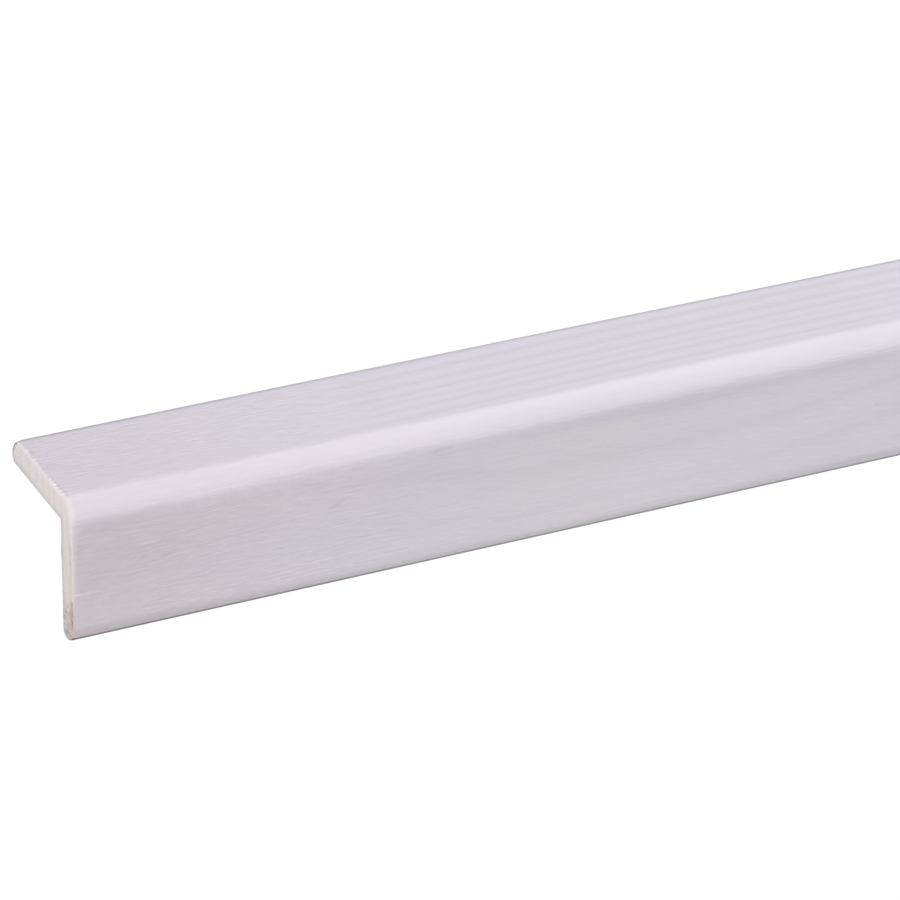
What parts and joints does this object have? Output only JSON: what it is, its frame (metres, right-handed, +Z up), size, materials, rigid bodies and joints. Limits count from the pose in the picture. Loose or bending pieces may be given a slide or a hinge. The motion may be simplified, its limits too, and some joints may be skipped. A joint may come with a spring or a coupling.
{
  "type": "corner guard moulding",
  "caption": "Straight white-primed timber L moulding with a rounded corner and round-nosed free edges, which covers and protects an outside corner.",
  "frame": {"origin": "on the floor under the middle of the length, midway between the two free edges", "axes": "+X along the length, +Z up through the rounded outer corner, Y from one free edge to the other"},
  "size_m": [2.4, 0.0352, 0.0203],
  "materials": {
    "primed_timber": "softwood under a thin matt white primer"
  },
  "bodies": {
    "root": {"corner_moulding": "primed_timber"}
  },
  "joints": []
}
